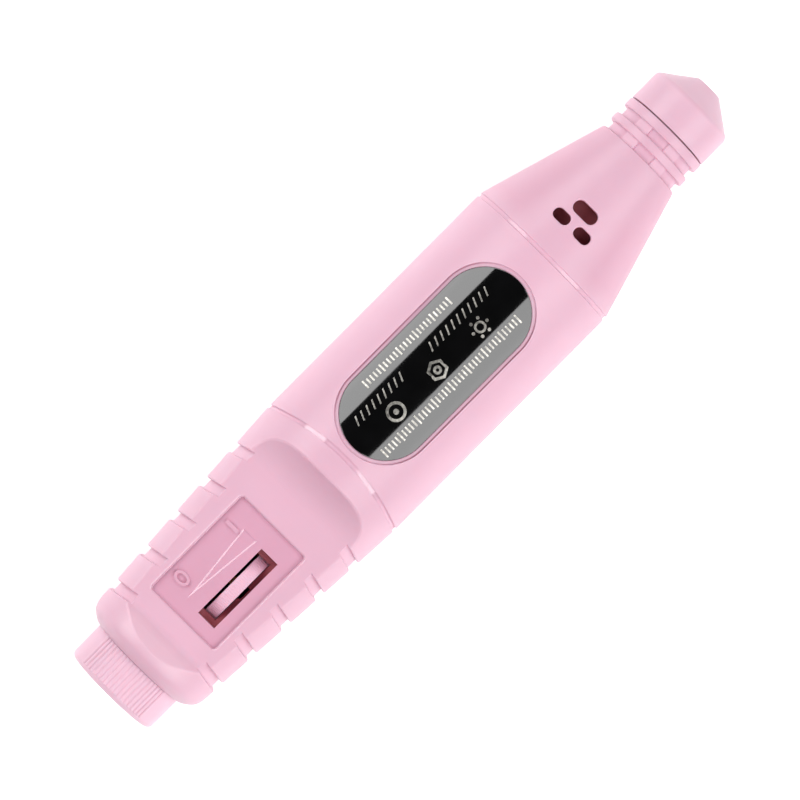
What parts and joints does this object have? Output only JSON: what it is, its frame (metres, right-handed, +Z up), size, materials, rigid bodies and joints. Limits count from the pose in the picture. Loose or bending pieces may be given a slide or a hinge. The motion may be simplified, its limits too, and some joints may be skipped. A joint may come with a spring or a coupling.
{
  "type": "electric nail drill",
  "caption": "Pen-shaped electric nail drill handpiece with blocked grip, thumbwheel speed control in a saddle, label plate, vented cone and pull-off nose cap over a bit chuck",
  "frame": {"origin": "at half the length, on the ground plane under the spindle axis", "axes": "+X along the spindle toward the nose, +Z up out of the switch and label face, +Y to the left when looking toward the nose"},
  "size_m": [0.1442, 0.03, 0.0298],
  "materials": {
    "pink_shell": "satin-gloss pink moulded ABS",
    "pink_wheel": "satin pink moulded ABS",
    "gloss_black": "gloss black label plate",
    "adhesive": "foam adhesive film",
    "steel": "bright steel",
    "zinc_steel": "zinc-plated sheet steel",
    "brass": "machined brass",
    "bronze": "sintered bronze",
    "copper": "enamelled copper wire",
    "ferrite": "ferrite magnet",
    "laminations": "stamped silicon steel",
    "carbon": "carbon and graphite",
    "nylon_white": "natural nylon",
    "black_plastic": "black moulded plastic",
    "phenolic": "phenolic board",
    "green_board": "fibreglass circuit board",
    "resistor_body": "lacquered resistor",
    "ceramic": "dipped ceramic disc",
    "capacitor_sleeve": "shrink-sleeved aluminium can",
    "rubber_black": "nitrile rubber",
    "wire_red": "soft PVC insulation",
    "wire_black": "soft PVC insulation"
  },
  "bodies": {
    "housing": {"top_shell": "pink_shell", "bottom_shell": "pink_shell", "tail_cap": "pink_shell", "nose_collar": "pink_shell", "shell_screws": "zinc_steel", "cap_o_ring": "rubber_black", "badge_plate": "gloss_black", "badge_adhesive": "adhesive", "pot_body": "black_plastic", "pot_base": "phenolic", "pot_track": "carbon", "pot_terminals": "zinc_steel", "circuit_board": "green_board", "transistor": "black_plastic", "capacitor": "capacitor_sleeve", "resistors": "resistor_body", "diode": "black_plastic", "jack_housing": "black_plastic", "jack_centre_pin": "steel", "jack_contacts": "brass", "jack_retainer": "zinc_steel", "power_lead_plus": "wire_red", "power_lead_minus": "wire_black", "motor_lead_plus": "wire_red", "motor_lead_minus": "wire_black", "motor_can": "zinc_steel", "motor_end_bell": "nylon_white", "motor_rear_bush": "bronze", "motor_front_bush": "bronze", "motor_magnets": "ferrite", "motor_brushes": "carbon", "brush_springs": "brass", "motor_terminals": "brass", "suppressor_capacitor": "ceramic", "motor_dampers": "rubber_black", "bearing_outer_ring": "steel", "bearing_shields": "zinc_steel"},
    "spindle": {"motor_shaft": "steel", "armature_core": "laminations", "armature_windings": "copper", "commutator_base": "phenolic", "commutator_bars": "copper", "thrust_washers": "nylon_white", "chuck": "steel", "chuck_grub_screw": "zinc_steel", "chuck_circlip": "steel", "collet_spring": "steel", "bearing_inner_ring": "steel"},
    "ball_set": {"bearing_balls": "steel", "bearing_cage": "brass"},
    "dial": {"speed_wheel": "pink_wheel", "wheel_screw": "zinc_steel", "pot_spindle": "brass", "pot_wiper": "bronze"},
    "cap": {"nose_cap": "pink_shell"}
  },
  "joints": [
    {"name": "spindle_spin", "type": "hinge", "parent": "housing", "child": "spindle", "pos_m": [0.03785, 0, 0.01475], "axis": [1, 0, 0], "continuous": true},
    {"name": "bearing_cage_spin", "type": "hinge", "parent": "housing", "child": "ball_set", "pos_m": [0.05185, 0, 0.01475], "axis": [1, 0, 0], "continuous": true},
    {"name": "speed_wheel_turn", "type": "hinge", "parent": "housing", "child": "dial", "pos_m": [-0.04411, -0.00285, 0.01465], "axis": [0, 1, 0], "range_deg": [0, 280]},
    {"name": "nose_cap_pull", "type": "slide", "parent": "housing", "child": "cap", "axis": [1, 0, 0], "range_m": [0, 0.0055]}
  ],
  "couplings": [
    {"joint": "bearing_cage_spin", "follows": "spindle_spin", "ratio": 0.4}
  ]
}
